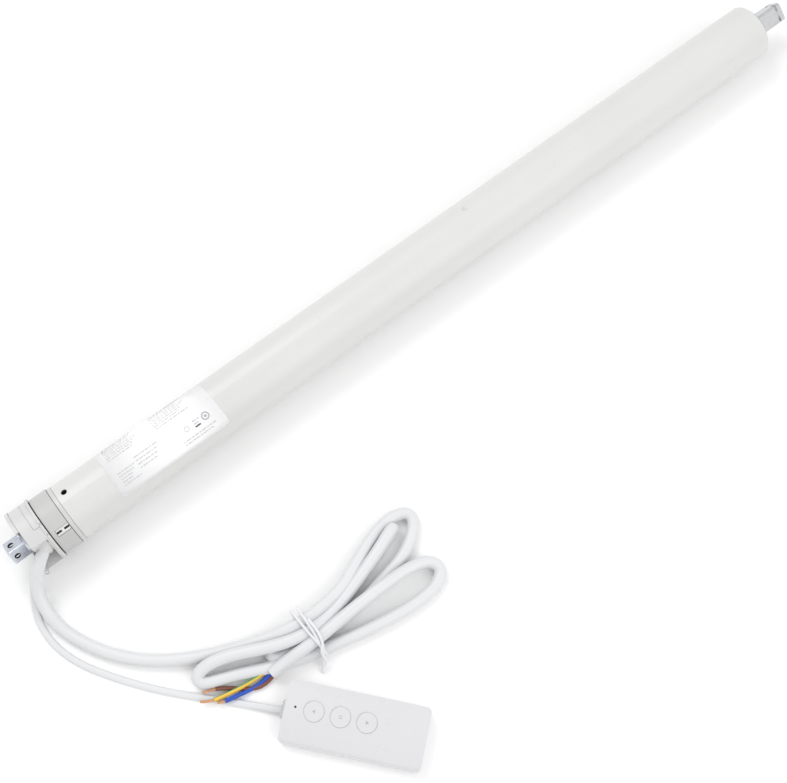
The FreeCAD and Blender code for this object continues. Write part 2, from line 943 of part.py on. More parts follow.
earth_route = on_floor([(52.1, -137.2), (44.3, -137.7)], core_z) + [vec(35.3, -136.4, core_z + 0.8)]
earth_route += on_floor([(26.3, -134.8), (18.3, -132.8), (11.8, -128.6)], core_over_control_z)
blue_route = on_floor([(52.1, -139.8), (45.9, -140.7), (39.3, -140.5)], core_z)
blue_route += [vec(32.5, -139.2, core_z + 0.9), vec(26.3, -137.8, core_over_control_z)]
blue_route += [vec(19.8, -137.2, core_over_control_z)]
brown_route = on_floor([(52.1, -142.2), (47.3, -143.9), (40.9, -144.8), (34.4, -143.4)], core_z)

hank_outline = [
    (27.5, -104.1), (22.3, -112.7), (16.3, -114.0), (15.3, -121.0), (18.5, -128.2), (27.9, -130.4),
    (41.9, -133.6), (52.1, -135.6), (52.1, -143.4), (71.9, -149.6), (87.9, -154.8), (101.9, -159.0),
    (117.9, -161.4), (147.9, -162.4), (159.9, -160.0), (165.5, -153.0), (163.9, -143.2), (154.9, -136.4),
    (163.1, -131.0), (169.9, -122.0), (169.5, -112.6), (161.9, -106.8), (147.9, -105.9), (131.9, -109.6),
    (116.9, -115.8), (103.9, -120.4), (89.9, -123.6), (79.9, -125.2), (62.9, -118.6), (44.9, -111.8),
]


def make_hank():
    corners = on_floor(hank_outline, floor_z)
    face = Part.Face(Part.makePolygon(corners + [corners[0]]))
    return face.extrude(vec(0, 0, hank_height))


def make_tie():
    # A staple of wrapped wire over the waist of the hank.
    outer = block(tie_x - tie_thick, tie_x + tie_thick, tie_near, tie_far,
                  floor_z, floor_z + hank_height + tie_thick)
    inner = block(tie_x - 5, tie_x + 5, tie_near + tie_thick, tie_far - tie_thick,
                  floor_z - 1, floor_z + hank_height - 1)
    return outer.cut(make_hank()).cut(inner)


def cable_nodes():
    gland_inside = exit_point - exit_way * gland_depth
    gland = Part.makeCylinder(gland_radius, gland_depth + gland_lip, gland_inside, exit_way)
    bore = Part.makeCylinder(mains_radius, 3 * gland_depth, gland_inside - exit_way, exit_way)
    save("mains_gland", gland.cut(bore))
    save("mains_cable", cord("mains_cable", mains_route, mains_radius))
    save("mains_hank", make_hank())
    save("core_earth", cord("core_earth", earth_route, core_radius))
    save("core_blue", cord("core_blue", blue_route, core_radius))
    save("core_brown", cord("core_brown", brown_route, core_radius))
    save("hank_tie", make_tie())
    control = flat_cord("control_cable", control_route, control_width, control_thick, control_start_roll)
    save("control_cable", control)


head_nodes()
electronics_nodes()
brake_nodes()
motor_nodes()
gearbox_nodes()
control_box_nodes()
cable_nodes()
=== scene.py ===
import math

import bmesh
import bpy
from mathutils import Matrix, Vector


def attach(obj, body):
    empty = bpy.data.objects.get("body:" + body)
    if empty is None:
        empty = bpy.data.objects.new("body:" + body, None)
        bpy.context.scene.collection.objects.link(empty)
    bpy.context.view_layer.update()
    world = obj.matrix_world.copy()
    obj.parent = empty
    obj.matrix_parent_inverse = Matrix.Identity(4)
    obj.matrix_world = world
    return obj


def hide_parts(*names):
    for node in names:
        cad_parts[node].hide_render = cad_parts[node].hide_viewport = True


# A tubular shutter motor lying on a pale floor, with its tied mains lead and its button box.
# Routes and sizes below are in millimetres, in the part's own frame, and MM turns them into metres.

MM = 0.001
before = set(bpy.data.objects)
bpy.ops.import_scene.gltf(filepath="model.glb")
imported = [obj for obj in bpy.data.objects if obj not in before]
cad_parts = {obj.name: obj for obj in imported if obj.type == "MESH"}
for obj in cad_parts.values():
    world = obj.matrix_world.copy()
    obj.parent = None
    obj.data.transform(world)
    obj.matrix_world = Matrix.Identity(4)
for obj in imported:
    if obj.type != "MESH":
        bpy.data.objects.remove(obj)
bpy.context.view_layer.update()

FLOOR = -20.0
TUBE_RADIUS = 17.5
MAINS_RADIUS = 3.6
CORE_RADIUS = 1.2
CONTROL_WIDTH = 4.0
CONTROL_THICK = 2.0
LOW = FLOOR + MAINS_RADIUS + 0.05
HIGH = LOW + 7.0


# ---- camera

def make_camera():
    data = bpy.data.cameras.new("camera")
    data.lens = 59.15
    data.sensor_width = 36.0
    data.clip_start = 0.01
    data.clip_end = 20.0
    camera = bpy.data.objects.new("camera", data)
    bpy.context.collection.objects.link(camera)
    azimuth = math.radians(-37.83)
    elevation = math.radians(70.03)
    back = Vector((math.sin(azimuth) * math.cos(elevation),
                   -math.cos(azimuth) * math.cos(elevation),
                   math.sin(elevation)))
    camera.location = (0.0451, -0.2590, 0.7102)
    camera.rotation_mode = "QUATERNION"
    camera.rotation_quaternion = (-back).to_track_quat("-Z", "Y")
    bpy.context.scene.camera = camera


# ---- materials

class Nodes:
    """A material's node tree, with its Principled shader."""

    def __init__(self, name):
        self.material = bpy.data.materials.new(name)
        self.material.use_nodes = True
        self.tree = self.material.node_tree
        self.tree.nodes.clear()
        self.output = self.add("ShaderNodeOutputMaterial")
        self.shader = self.add("ShaderNodeBsdfPrincipled")
        self.link(self.shader.outputs["BSDF"], self.output.inputs["Surface"])
        self.place = self.add("ShaderNodeTexCoord").outputs["Object"]

    def add(self, kind):
        return self.tree.nodes.new(kind)

    def link(self, source, target):
        self.tree.links.new(source, target)

    def set(self, **values):
        for name, value in values.items():
            self.shader.inputs[name.replace("_", " ")].default_value = value

    def stretched(self, scale):
        mapping = self.add("ShaderNodeMapping")
        mapping.inputs["Scale"].default_value = scale
        self.link(self.place, mapping.inputs["Vector"])
        return mapping.outputs["Vector"]

    def noise(self, scale, detail=4.0, vector=None):
        node = self.add("ShaderNodeTexNoise")
        node.inputs["Scale"].default_value = scale
        node.inputs["Detail"].default_value = detail
        self.link(self.place if vector is None else vector, node.inputs["Vector"])
        return node.outputs["Fac"]

    def ranged(self, value, low, high, from_low=0.3, from_high=0.7):
        node = self.add("ShaderNodeMapRange")
        node.inputs["From Min"].default_value = from_low
        node.inputs["From Max"].default_value = from_high
        node.inputs["To Min"].default_value = low
        node.inputs["To Max"].default_value = high
        self.link(value, node.inputs["Value"])
        return node.outputs["Result"]

    def mixed(self, factor, first, second):
        node = self.add("ShaderNodeMix")
        node.data_type = "RGBA"
        for socket, colour in ((node.inputs[6], first), (node.inputs[7], second)):
            if hasattr(colour, "links"):
                self.link(colour, socket)
            else:
                socket.default_value = (*colour, 1.0)
        self.link(factor, node.inputs[0])
        return node.outputs[2]

    def bump(self, height, strength, distance):
        node = self.add("ShaderNodeBump")
        node.inputs["Strength"].default_value = strength
        node.inputs["Distance"].default_value = distance
        self.link(height, node.inputs["Height"])
        if self.shader.inputs["Normal"].links:
            self.link(self.shader.inputs["Normal"].links[0].from_socket, node.inputs["Normal"])
        self.link(node.outputs["Normal"], self.shader.inputs["Normal"])


def worn_colour(nodes, light, dark, scale):
    """Slow colour drift over the whole surface, and small scuffs on top of it."""
    drift = nodes.ranged(nodes.noise(scale), 0.0, 1.0)
    base = nodes.mixed(drift, light, dark)
    scuffs = nodes.ranged(nodes.noise(scale * 22, 8.0), 0.0, 0.35, 0.62, 0.78)
    scuffed = tuple(0.86 * channel for channel in dark)
    nodes.link(nodes.mixed(scuffs, base, scuffed), nodes.shader.inputs["Base Color"])


def surface(name, light, dark, rough, grain, bump, distance=0.00005, scale=14.0, **values):
    """A plain moulded or painted surface: drifting colour, uneven gloss and a fine grain."""
    nodes = Nodes(name)
    nodes.set(**values)
    worn_colour(nodes, light, dark, scale)
    gloss = nodes.ranged(nodes.noise(scale * 6, 6.0), rough - 0.05, rough + 0.07)
    nodes.link(gloss, nodes.shader.inputs["Roughness"])
    nodes.bump(nodes.noise(grain, 3.0), bump, distance)
    return nodes.material


def brushed(name, light, dark, rough, direction, streak, **values):
    """Bare or plated metal, with streaks along one way and blotches of plating."""
    nodes = Nodes(name)
    nodes.set(Metallic=1.0, **values)
    streaks = nodes.noise(streak, 5.0, nodes.stretched(direction))
    blotches = nodes.ranged(nodes.noise(260.0, 4.0), 0.0, 1.0)
    base = nodes.mixed(blotches, light, dark)
    shade = nodes.ranged(streaks, 0.0, 0.5, 0.35, 0.75)
    darker = tuple(0.72 * channel for channel in dark)
    nodes.link(nodes.mixed(shade, base, darker), nodes.shader.inputs["Base Color"])
    nodes.link(nodes.ranged(streaks, rough - 0.07, rough + 0.1), nodes.shader.inputs["Roughness"])
    nodes.bump(streaks, 0.12, 0.00004)
    return nodes.material


def winding_material():
    """Enamelled copper wire, wound in tight turns."""
    nodes = Nodes("copper_winding")
    nodes.set(Metallic=0.75, Coat_Weight=0.5, Coat_Roughness=0.2)
    wave = nodes.add("ShaderNodeTexWave")
    wave.inputs["Scale"].default_value = 420.0
    wave.inputs["Distortion"].default_value = 1.5
    nodes.link(nodes.place, wave.inputs["Vector"])
    turns = wave.outputs["Fac"]
    nodes.link(nodes.mixed(turns, (0.30, 0.10, 0.03), (0.75, 0.34, 0.14)), nodes.shader.inputs["Base Color"])
    nodes.link(nodes.ranged(turns, 0.25, 0.5, 0.0, 1.0), nodes.shader.inputs["Roughness"])
    nodes.bump(turns, 0.6, 0.0002)
    return nodes.material


def striped_core_material():
    """Yellow insulation with one green stripe along the lower side of the core."""
    nodes = Nodes("core_green_yellow")
    nodes.set(Specular_IOR_Level=0.5)
    attribute = nodes.add("ShaderNodeAttribute")
    attribute.attribute_name = "around"
    stripe = nodes.ranged(attribute.outputs["Fac"], 0.0, 1.0, 0.60, 0.66)
    yellow = nodes.mixed(nodes.noise(300.0), (0.83, 0.55, 0.07), (0.72, 0.45, 0.05))
    nodes.link(nodes.mixed(stripe, yellow, (0.10, 0.33, 0.11)), nodes.shader.inputs["Base Color"])
    nodes.link(nodes.ranged(nodes.noise(500.0), 0.32, 0.46), nodes.shader.inputs["Roughness"])
    nodes.bump(nodes.noise(900.0), 0.1, 0.00005)
    return nodes.material


def make_materials():
    made = {
        "paint": surface("white_paint", (0.655, 0.653, 0.647), (0.63, 0.627, 0.62), 0.50, 1900.0, 0.10,
                         Specular_IOR_Level=0.45, Coat_Weight=0.25, Coat_Roughness=0.22),
        "plastic": surface("white_plastic", (0.62, 0.62, 0.62), (0.585, 0.585, 0.585), 0.42, 2600.0, 0.16),
        "crown": surface("grey_plastic", (0.53, 0.53, 0.525), (0.49, 0.49, 0.485), 0.48, 2600.0, 0.18),
        "collar": surface("collar_plastic", (0.60, 0.60, 0.595), (0.56, 0.56, 0.555), 0.42, 2600.0, 0.16),
        "latch": surface("latch_plastic", (0.74, 0.74, 0.73), (0.66, 0.66, 0.65), 0.4, 2400.0, 0.15),
        "box": surface("box_plastic", (0.66, 0.656, 0.675), (0.64, 0.636, 0.655), 0.28, 3200.0, 0.05,
                       Coat_Weight=0.3, Coat_Roughness=0.12),
        "button": surface("button_plastic", (0.66, 0.656, 0.675), (0.64, 0.636, 0.655), 0.31, 3200.0, 0.06),
        "cable": surface("cable_white", (0.70, 0.706, 0.718), (0.67, 0.677, 0.69), 0.38, 1400.0, 0.14,
                         Specular_IOR_Level=0.5, Subsurface_Weight=0.06,
                         Subsurface_Radius=(0.002, 0.002, 0.002)),
        "tie": surface("tie_white", (0.78, 0.78, 0.80), (0.74, 0.74, 0.76), 0.33, 1600.0, 0.12),
        "label": surface("label_film", (0.90, 0.90, 0.91), (0.88, 0.88, 0.89), 0.22, 2200.0, 0.03,
                         Coat_Weight=0.4, Coat_Roughness=0.08),
        # grey print on the label and buttons; on the tube crimp the same grey is painted shade of the
        # stamped dent
        "grey_ink_and_dent_shade": surface("ink_grey_and_dent_shade", (0.46, 0.46, 0.48), (0.40, 0.40, 0.42), 0.5, 2200.0, 0.02),
        "ink_dark": surface("ink_dark", (0.10, 0.10, 0.105), (0.06, 0.06, 0.065), 0.5, 2200.0, 0.02),
        "ink_faint": surface("ink_faint", (0.66, 0.66, 0.67), (0.62, 0.62, 0.63), 0.5, 2200.0, 0.02),
        "rubber": surface("gland_rubber", (0.66, 0.66, 0.65), (0.58, 0.58, 0.575), 0.6, 1800.0, 0.2),
        "nylon": surface("grey_nylon", (0.20, 0.20, 0.215), (0.15, 0.15, 0.16), 0.5, 1500.0, 0.2),
        "gear": surface("gear_nylon", (0.74, 0.71, 0.60), (0.67, 0.64, 0.52), 0.4, 1500.0, 0.12),
        "board": surface("circuit_board", (0.03, 0.17, 0.08), (0.02, 0.12, 0.05), 0.35, 700.0, 0.15),
        "switch": surface("switch_black", (0.03, 0.03, 0.03), (0.02, 0.02, 0.02), 0.45, 1500.0, 0.1),
        "lens": surface("led_lens", (0.10, 0.10, 0.11), (0.05, 0.05, 0.06), 0.15, 2000.0, 0.02),
        "lining": surface("brake_lining", (0.07, 0.06, 0.055), (0.035, 0.03, 0.03), 0.75, 900.0, 0.5),
        # painted shade: flat near-black that stands in for the shade inside holes, gaps and recesses
        "dark": surface("painted_shade_black", (0.035, 0.035, 0.035), (0.02, 0.02, 0.02), 0.8, 900.0, 0.2),
        "brown": surface("core_brown", (0.22, 0.075, 0.045), (0.16, 0.05, 0.03), 0.4, 900.0, 0.1),
        "blue": surface("core_blue", (0.012, 0.085, 0.52), (0.008, 0.06, 0.40), 0.36, 900.0, 0.1),
        "earth": striped_core_material(),
        "winding": winding_material(),
        "zinc": brushed("zinc_plate", (0.70, 0.73, 0.79), (0.60, 0.63, 0.70), 0.33, (1.0, 9.0, 9.0), 240.0),
        "steel": brushed("machined_steel", (0.66, 0.66, 0.67), (0.57, 0.57, 0.59), 0.30, (14.0,
                         1.0, 1.0), 200.0),
        "shaft": brushed("shaft_steel", (0.66, 0.665, 0.68), (0.60, 0.605, 0.62), 0.36, (1.0,
                         8.0, 8.0), 260.0),
        "gear_steel": brushed("gear_steel", (0.50, 0.50, 0.52), (0.40, 0.40, 0.42), 0.42, (6.0,
                              1.0, 1.0), 300.0),
        "laminate": brushed("core_steel", (0.42, 0.42, 0.44), (0.33, 0.33, 0.35), 0.46, (60.0,
                            1.0, 1.0), 60.0),
        "cast": brushed("cast_alloy", (0.62, 0.62, 0.64), (0.54, 0.54, 0.56), 0.48, (1.0, 1.0, 1.0), 500.0),
        "bronze": brushed("sintered_bronze", (0.62, 0.42, 0.20), (0.50, 0.32, 0.14), 0.45, (1.0,
                          1.0, 1.0), 700.0),
        "copper": brushed("bare_copper", (0.80, 0.46, 0.27), (0.62, 0.32, 0.17), 0.32, (2.0, 1.0,
                          1.0), 500.0),
    }
    return made


NODE_MATERIALS = {
    "paint": ["motor_tube"],
    "plastic": ["head_body", "head_cover"],
    "collar": ["stop_collar"],
    "crown": ["crown_ring"],
    "latch": ["crown_latch"],
    # painted shade: the washers get the near-black shade colour so the gap between crown and flange reads as
    # a dark line
    "dark": ["crown_washers"],
    "zinc": ["square_pin", "head_plate", "head_screws", "box_screws"],
    "nylon": ["board_carrier", "end_cap"],
    "board": ["control_board", "box_board"],
    "cast": ["run_capacitor", "brake_housing", "front_bell", "rear_bell"],
    "winding": ["brake_coil", "stator_winding"],
    "steel": ["brake_armature", "rotor_shaft", "shaft_bearings"],
    "shaft": ["output_shaft"],
    "lining": ["brake_disc"],
    "laminate": ["stator_core", "rotor_core"],
    "gear_steel": ["ring_gear", "first_carrier", "second_carrier"],
    "bronze": ["output_bush"],
    "gear": [stage + "_planet_" + str(index)
             for stage in ("first", "second", "third") for index in (1, 2, 3)],
    "box": ["box_lid", "box_base"],
    "button": ["button_up", "button_stop", "button_down"],
    "switch": ["button_switches"],
    "lens": ["light_pipe"],
    "rubber": ["mains_gland", "box_gland"],
}


def dress_cad():
    for key, names in NODE_MATERIALS.items():
        for name in names:
            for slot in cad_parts[name].material_slots:
                slot.material = materials[key]


# ---- helpers for pieces

def metres(points):
    return [Vector(point) * MM for point in points]


def new_object(name, data, material):
    piece = bpy.data.objects.new(name, data)
    bpy.context.collection.objects.link(piece)
    data.materials.append(material)
    return piece


def mesh_object(name, mesh, material, smooth=True):
    data = bpy.data.meshes.new(name)
    mesh.to_mesh(data)
    mesh.free()
    for polygon in data.polygons:
        polygon.use_smooth = smooth
    return new_object(name, data, material)


def line_curve(name, points):
    data = bpy.data.curves.new(name, "CURVE")
    data.dimensions = "3D"
    data.resolution_u = 16
    spline = data.splines.new("NURBS")
    spline.points.add(len(points) - 1)
    for target, point in zip(spline.points, metres(points)):
        target.co = (*point, 1.0)
    spline.order_u = 3
    spline.use_endpoint_u = True
    return data


def round_cord(name, points, radius, material):
    data = line_curve(name, points)
    data.bevel_depth = radius * MM
    data.bevel_resolution = 8
    data.use_fill_caps = True
    return new_object(name, data, material)


def spline_points(points):
    """Points in metres along the smooth line that a route gives."""
    data = line_curve("route", points)
    carrier = bpy.data.objects.new("route", data)
    mesh = bpy.data.meshes.new_from_object(carrier)
    line = [vertex.co.copy() for vertex in mesh.vertices]
    bpy.data.objects.remove(carrier)
    bpy.data.curves.remove(data)
    bpy.data.meshes.remove(mesh)
    return line


def tangents(line):
    ways = []
    for index in range(len(line)):
        before = line[max(index - 1, 0)]
        after = line[min(index + 1, len(line) - 1)]
        ways.append((after - before).normalized())
    return ways


def swept_mesh(name, line, section, roll, material, around=False):
    """A section carried along a line. roll(share) turns it, with its second axis up at roll 0."""
    mesh = bmesh.new()
    layer = mesh.verts.layers.float.new("around") if around else None
    rings = []
    last = len(line) - 1
    for index, (point, way) in enumerate(zip(line, tangents(line))):
        side = Vector((0, 0, 1)).cross(way).normalized()
        rise = way.cross(side)
        turn = Matrix.Rotation(roll(index / last), 3, way)
        ring = []
        for corner, (across, up) in enumerate(section):
            vertex = mesh.verts.new(point + turn @ (side * across + rise * up) * MM)
            if around:
                vertex[layer] = abs(1 - 2 * corner / len(section))
            ring.append(vertex)
        rings.append(ring)
    count = len(section)
    for first, second in zip(rings, rings[1:]):
        for index in range(count):
            following = (index + 1) % count
            mesh.faces.new((first[index], first[following], second[following], second[index]))
    mesh.faces.new(list(reversed(rings[0])))
    mesh.faces.new(rings[-1])
    bmesh.ops.recalc_face_normals(mesh, faces=mesh.faces)
    return mesh_object(name, mesh, material)


def circle(radius, count=20):
    return [(radius * math.cos(2 * math.pi * i / count), radius * math.sin(2 * math.pi * i / count))
            for i in range(count)]


def rounded_strip(width, thick, corner_steps=5):
    """The section of a flat cable: two half rounds joined by flats."""
    radius = thick / 2
    reach = width / 2 - radius
    outline = []
    for step in range(corner_steps + 1):
        angle = -math.pi / 2 + math.pi * step / corner_steps
        outline.append((reach + radius * math.cos(angle), radius * math.sin(angle)))
    return outline + [(-across, -up) for across, up in outline]


# ---- mains cable, tied in loose loops, and its bare cores

LEAD = [
    (-4.0, -9.25, 8.5), (-14.7, -15.2, 3.2), (-22.8, -20.6, -5.6), (-27.7, -31.5, -13.2),
    (-27.3, -46.5, LOW), (-20.9, -63.5, LOW), (-9.9, -81.0, LOW), (5.4, -96.0, LOW), (24.9, -108.4, LOW),
]
UPPER_LOOP = [
    (43.9, -116.6, LOW), (58.9, -123.0, LOW + 2.5), (74.4, -127.6, HIGH - 0.6), (87.9, -129.4, HIGH),
    (109.4, -127.6, HIGH - 1), (123.9, -121.3, HIGH - 3), (140.4, -114.1, LOW + 2), (154.4, -110.6, LOW),
    (166.5, -112.4, LOW), (168.9, -119.6, LOW), (159.4, -128.2, LOW), (148.5, -133.4, LOW),
    (133.9, -136.4, LOW), (115.9, -139.6, LOW), (97.9, -141.2, LOW), (81.9, -138.6, LOW),
]
HIDDEN_FOLD = [
    (69.9, -137.4, LOW), (60.4, -136.0, LOW), (56.7, -132.6, LOW), (60.4, -129.2, LOW), (69.9, -130.2, LOW),
]
INNER_LOOP = [
    (81.9, -131.4, LOW), (97.9, -132.4, LOW), (113.9, -129.6, LOW), (129.9, -125.4, LOW),
    (145.9, -120.4, LOW), (155.9, -116.6, LOW + 1.5), (152.9, -117.4, HIGH - 2.4),
    (139.9, -122.6, HIGH - 2), (123.9, -127.6, HIGH - 2.4), (107.9, -132.4, LOW + 4.2),
    (93.9, -135.2, LOW + 5), (81.9, -135.6, HIGH),
]
LEFT_FOLD = [
    (70.9, -133.6, HIGH), (57.9, -128.6, HIGH), (44.4, -121.6, HIGH - 0.6), (33.9, -117.2, HIGH - 1.2),
    (24.3, -115.2, HIGH - 2.6), (17.5, -116.6, LOW + 2.4), (18.5, -121.6, LOW), (27.4, -125.4, LOW),
    (39.9, -130.6, LOW), (51.9, -136.6, LOW), (63.9, -142.0, LOW), (77.9, -146.2, LOW),
]
RIGHT_LOOP = [
    (93.9, -150.2, LOW), (109.9, -154.4, LOW), (127.9, -157.6, LOW), (143.9, -158.9, LOW),
    (156.4, -157.4, LOW), (163.3, -151.6, LOW), (159.9, -144.0, LOW + 1.5), (147.9, -141.0, HIGH - 3),
    (133.9, -140.6, HIGH), (115.9, -140.4, HIGH), (99.9, -140.8, HIGH), (85.9, -141.6, HIGH),
]
CUT_END = [(71.9, -141.4, HIGH - 0.4), (61.9, -140.4, HIGH - 3.6), (52.1, -140.0, LOW + 0.9)]
MAINS_ROUTE = LEAD + UPPER_LOOP + HIDDEN_FOLD + INNER_LOOP + LEFT_FOLD + RIGHT_LOOP + CUT_END

CORE_Z = FLOOR + CORE_RADIUS + 0.05
OVER_CONTROL = CORE_Z + 2.3
EARTH_ROUTE = [
    (55.9, -138.9, LOW + 2.0), (52.1, -137.6, LOW + 1.4), (44.3, -137.2, CORE_Z + 2.4),
    (35.3, -136.2, CORE_Z + 1.6), (26.3, -134.6, OVER_CONTROL), (18.3, -132.6, OVER_CONTROL),
]
EARTH_END = [(18.3, -132.6, OVER_CONTROL), (14.8, -131.3, OVER_CONTROL), (11.8, -128.8, OVER_CONTROL)]
BLUE_ROUTE = [
    (55.9, -140.2, LOW + 0.4), (52.1, -139.9, LOW - 0.4), (45.9, -140.7, CORE_Z + 0.6),
    (39.3, -140.3, CORE_Z),
    (32.5, -139.0, CORE_Z + 0.9), (26.3, -137.6, OVER_CONTROL), (22.8, -136.9, OVER_CONTROL),
]
BLUE_END = [(22.8, -136.9, OVER_CONTROL), (21.1, -136.2, OVER_CONTROL), (19.1, -135.0, OVER_CONTROL)]
BROWN_ROUTE = [
    (55.9, -141.4, LOW - 0.2), (52.1, -141.4, LOW - 1.2), (47.3, -142.4, CORE_Z), (40.9, -141.8, CORE_Z),
    (34.4, -137.2, CORE_Z + 0.2), (28.1, -131.6, CORE_Z + 0.6), (22.5, -128.2, OVER_CONTROL),
]
BROWN_END = [(22.5, -128.2, OVER_CONTROL), (19.3, -127.0, OVER_CONTROL), (15.7, -125.4, OVER_CONTROL)]


def bare_end(name, points):
    """The stripped copper strands at the end of a core: a bundle of thin twisted wires."""
    line = spline_points(points)
    ways = tangents(line)
    strand_radius = 0.26 * MM
    bundle_radius = 0.5 * MM
    twist = 2.5
    data = bpy.data.curves.new(name, "CURVE")
    data.dimensions = "3D"
    data.bevel_depth = strand_radius
    data.bevel_resolution = 3
    data.use_fill_caps = True
    for strand in range(7):
        spline = data.splines.new("POLY")
        spline.points.add(len(line) - 1)
        for index, (point, way) in enumerate(zip(line, ways)):
            side = Vector((0, 0, 1)).cross(way).normalized()
            rise = way.cross(side)
            angle = 2 * math.pi * (strand / 6 + twist * index / len(line))
            reach = bundle_radius if strand else 0.0
            offset = side * math.cos(angle) * reach + rise * math.sin(angle) * reach
            spline.points[index].co = (*(point + offset), 1.0)
    return new_object(name, data, materials["copper"])


def make_cores():
    pieces = []
    for name, route, end, key in (("core_blue", BLUE_ROUTE, BLUE_END, "blue"),
                                  ("core_brown", BROWN_ROUTE, BROWN_END, "brown")):
        core = round_cord(name + "_insulation", route, CORE_RADIUS, materials[key])
        pieces.append((core, name))
        pieces.append((bare_end(name + "_strands", end), name))
    earth = swept_mesh("core_earth_insulation", spline_points(EARTH_ROUTE), circle(CORE_RADIUS),
                       lambda share: 2.2 + 1.2 * share, materials["earth"], around=True)
    pieces.append((earth, "core_earth"))
    pieces.append((bare_end("core_earth_strands", EARTH_END), "core_earth"))
    for piece, node in pieces:
        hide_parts(node)
        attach(piece, "motor_frame")
    return [piece for piece, node in pieces]


TIE_RADIUS = 0.8
TIE_X = 81.9


def tie_wrap(x, lean, drop):
    """One turn of the wire round the waist of the bundle."""
    top = HIGH + MAINS_RADIUS + TIE_RADIUS + 0.2
    low = FLOOR + TIE_RADIUS + 0.1
    near = -152.0
    far = -126.0
    return [
        (x - lean, far + 1.5, low + 2), (x - lean, far, low + 8), (x - 0.8 * lean, far + 1.4, top - 1),
        (x - 0.4 * lean, far + 7, top + 0.4), (x, -137.0, top + drop), (x + 0.6 * lean, near + 9, top + 0.2),
        (x + lean, near + 3.0, top - 2.2), (x + lean, near + 0.6, low + 8), (x + lean, near + 1.6, low + 2),
        (x, near + 4, low), (x - lean, far - 4, low), (x - lean, far + 1.5, low + 2),
    ]


def make_tie():
    top = HIGH + MAINS_RADIUS + TIE_RADIUS
    first = round_cord("tie_first_wrap", tie_wrap(TIE_X - 1.2, 1.2, 0.2), TIE_RADIUS, materials["tie"])
    second = round_cord("tie_second_wrap", tie_wrap(TIE_X + 1.4, -1.6, 1.4), TIE_RADIUS, materials["tie"])
    tail_route = [
        (TIE_X + 3.0, -131.0, top + 1.4), (TIE_X + 3.4, -138.5, top + 2.6), (TIE_X + 2.2, -145.0, top + 1.4),
        (TIE_X - 0.4, -149.6, top - 2.5), (TIE_X - 3.0, -152.6, LOW + 4.0), (TIE_X - 5.6, -155.2,
        FLOOR + 3.0),
        (TIE_X - 7.4, -157.0, FLOOR + 1.0),
    ]
    tail = round_cord("tie_tail", tail_route, TIE_RADIUS, materials["tie"])
    twist_route = [
        (TIE_X + 1.6, -146.2, top + 1.2), (TIE_X - 1.4, -148.8, top - 0.6), (TIE_X - 2.4, -151.4, top - 4.0),
        (TIE_X - 2.0, -153.4, LOW + 3.2), (TIE_X - 3.4, -154.2, LOW + 0.6), (TIE_X - 4.6, -154.8,
        FLOOR + 1.2),
    ]
    twist = round_cord("tie_short_end", twist_route, TIE_RADIUS, materials["tie"])
    pieces = [first, second, tail, twist]
    for piece in pieces:
        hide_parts("hank_tie")
        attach(piece, "motor_frame")
    return pieces


def make_jacket_mouth():
    """The cut face of the jacket: a bright rim with the filler inside it."""
    end = Vector(CUT_END[-1]) * MM
    way = (end - Vector(CUT_END[-2]) * MM).normalized()
    mesh = bmesh.new()
    frame_of_end = way.to_track_quat("Z", "Y").to_matrix()
    rings = []
    outline = ((3.55, -0.4), (3.62, 0.0), (3.45, 0.22), (2.75, 0.22), (2.6, 0.0), (2.6, -1.5), (0.5, -1.5))
    for radius, ahead in outline:
        ring = []
        for across, up in circle(radius, 28):
            ring.append(mesh.verts.new(end + frame_of_end @ Vector((across, up, ahead)) * MM))
        rings.append(ring)
    for first, second in zip(rings, rings[1:]):
        for index in range(28):
            following = (index + 1) % 28
            mesh.faces.new((first[index], first[following], second[following], second[index]))
    bmesh.ops.recalc_face_normals(mesh, faces=mesh.faces)
    mouth = mesh_object("jacket_mouth", mesh, materials["cable"])
    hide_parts("mains_hank")
    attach(mouth, "motor_frame")
    return mouth


def make_mains_cable():
    cable = round_cord("mains_cable_jacket", MAINS_ROUTE, MAINS_RADIUS, materials["cable"])
    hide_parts("mains_cable", "mains_hank")
    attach(cable, "motor_frame")
    on_it = make_cores() + make_tie() + [make_jacket_mouth()]
    line = spline_points(MAINS_ROUTE)
    length = sum((after - before).length for before, after in zip(line, line[1:]))
    print("mains length", round(length, 4))


# ---- control cable

BOX_X = 71.3
BOX_Y = -191.3
BOX_TURN = math.radians(-49.6)
INTO_BOX = Vector((math.cos(BOX_TURN), math.sin(BOX_TURN), 0))
CONTROL_Z = FLOOR + CONTROL_THICK / 2 + 0.05
CONTROL_END = Vector((BOX_X, BOX_Y, FLOOR + 2.6)) - INTO_BOX * 38.5
CONTROL_ROUTE = [
    (-9.3, -9.2, -1.6), (-14.5, -12.0, -1.8), (-19.8, -13.8, -6.2), (-24.6, -17.6, -12.2),
    (-30.2, -24.8, -16.6), (-35.3, -36.8, CONTROL_Z), (-35.5, -52.8, CONTROL_Z), (-29.5, -70.8, CONTROL_Z),
    (-17.1, -90.4, CONTROL_Z), (-2.5, -109.6, CONTROL_Z), (12.9, -126.2, CONTROL_Z),
    (29.1, -143.2, CONTROL_Z),
    tuple(CONTROL_END - INTO_BOX * 10), tuple(CONTROL_END),
]


def make_control_cable():
    line = spline_points(CONTROL_ROUTE)

    def roll(share):
        return math.radians(-24) * max(0.0, 1 - share / 0.2)

    cable = swept_mesh("control_cable_jacket", line, rounded_strip(CONTROL_WIDTH, CONTROL_THICK),
                       roll, materials["cable"])
    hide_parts("control_cable")
    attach(cable, "motor_frame")
    length = sum((after - before).length for before, after in zip(line, line[1:]))
    print("control length", round(length, 4))


# ---- label and printed marks on the tube

